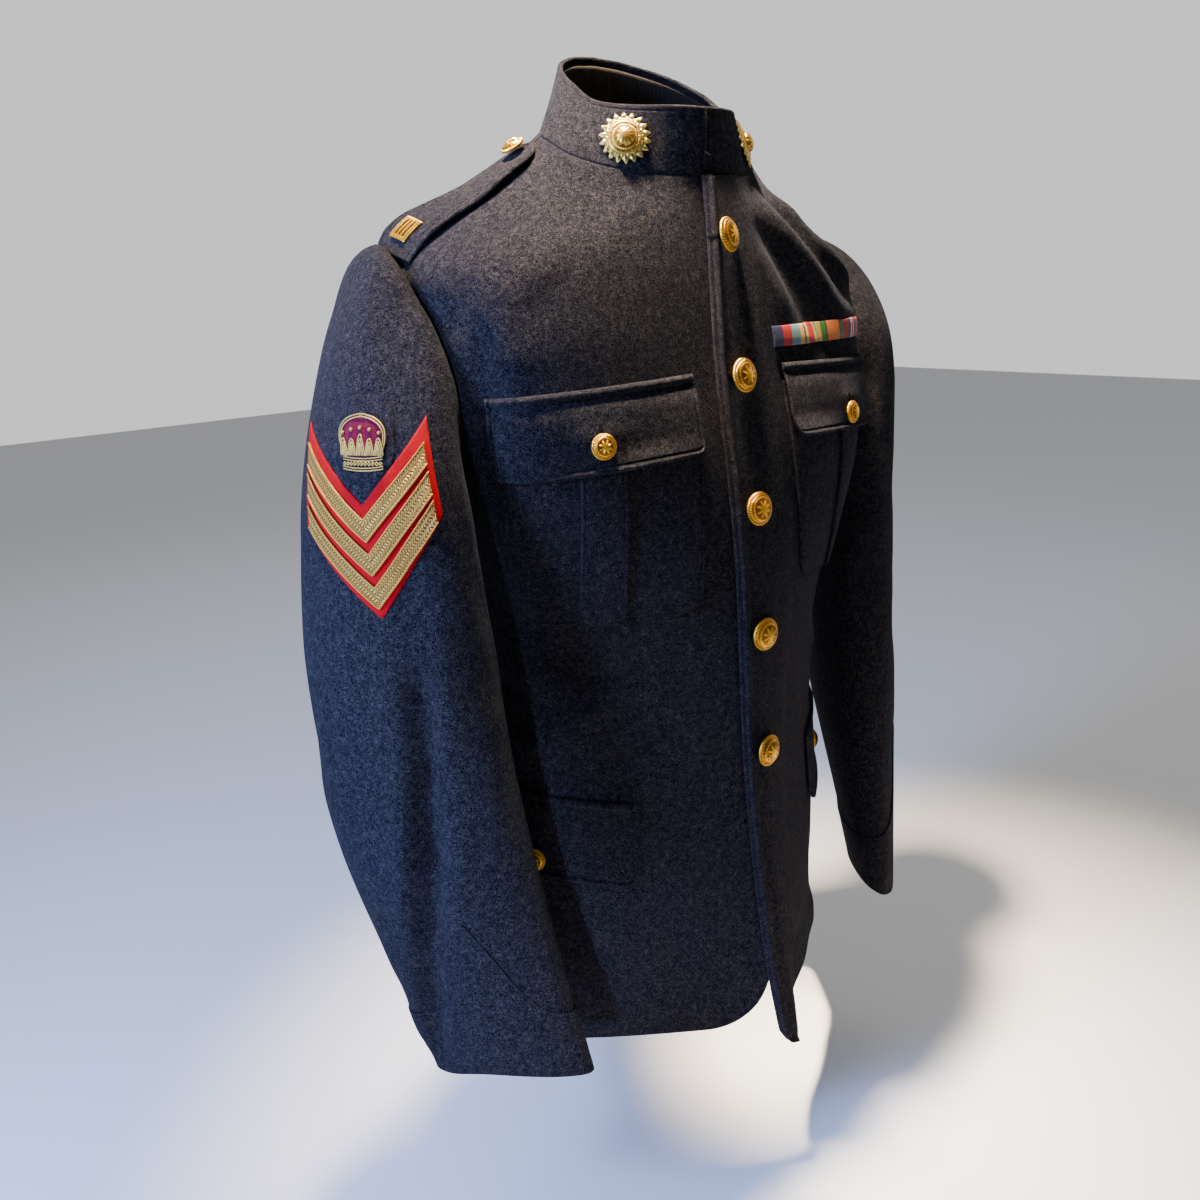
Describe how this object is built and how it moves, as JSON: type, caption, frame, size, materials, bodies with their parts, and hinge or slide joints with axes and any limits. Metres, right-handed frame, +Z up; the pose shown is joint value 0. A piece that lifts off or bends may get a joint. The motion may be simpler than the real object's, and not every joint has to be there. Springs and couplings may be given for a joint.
{
  "type": "military dress tunic",
  "caption": "Hollow navy wool dress tunic with a stand collar, buttoned front, pleated patch pockets, shoulder straps and pointed cuffs, worn open at neck, hem and wrists.",
  "frame": {"origin": "on the middle line between the side neck points, where the wearer's neck and shoulders hold the tunic up", "axes": "+Z up, -Y out of the buttoned front, +X towards the wearer's left arm"},
  "size_m": [0.6076, 0.3112, 0.8013],
  "materials": {
    "navy": "matte melton wool",
    "brass": "polished",
    "scarlet": "matte wool",
    "lace": "metallic braid",
    "ribbon": "ribbed silk"
  },
  "bodies": {
    "root": {"back_left": "navy", "back_right": "navy", "chest_button_left": "brass", "chest_button_right": "brass", "chest_flap_left": "navy", "chest_flap_right": "navy", "chest_pleat_left": "navy", "chest_pleat_right": "navy", "chest_pocket_left": "navy", "chest_pocket_right": "navy", "collar": "navy", "collar_badge_left": "brass", "collar_badge_right": "brass", "cuff_left": "navy", "cuff_right": "navy", "front_button_1": "brass", "front_button_2": "brass", "front_button_3": "brass", "front_button_4": "brass", "front_button_5": "brass", "front_left": "navy", "front_right": "navy", "lower_button_left": "brass", "lower_button_right": "brass", "lower_flap_left": "navy", "lower_flap_right": "navy", "rank_backing": "scarlet", "rank_chevron_1": "lace", "rank_chevron_2": "lace", "rank_chevron_3": "lace", "rank_crown": "lace", "rank_patch": "navy", "ribbon_bar": "ribbon", "shoulder_strap_left": "navy", "shoulder_strap_right": "navy", "sleeve_left_under": "navy", "sleeve_left_upper": "navy", "sleeve_right_under": "navy", "sleeve_right_upper": "navy", "strap_button_left": "brass", "strap_button_right": "brass", "title_plate_left": "brass", "title_plate_right": "brass"}
  },
  "joints": []
}
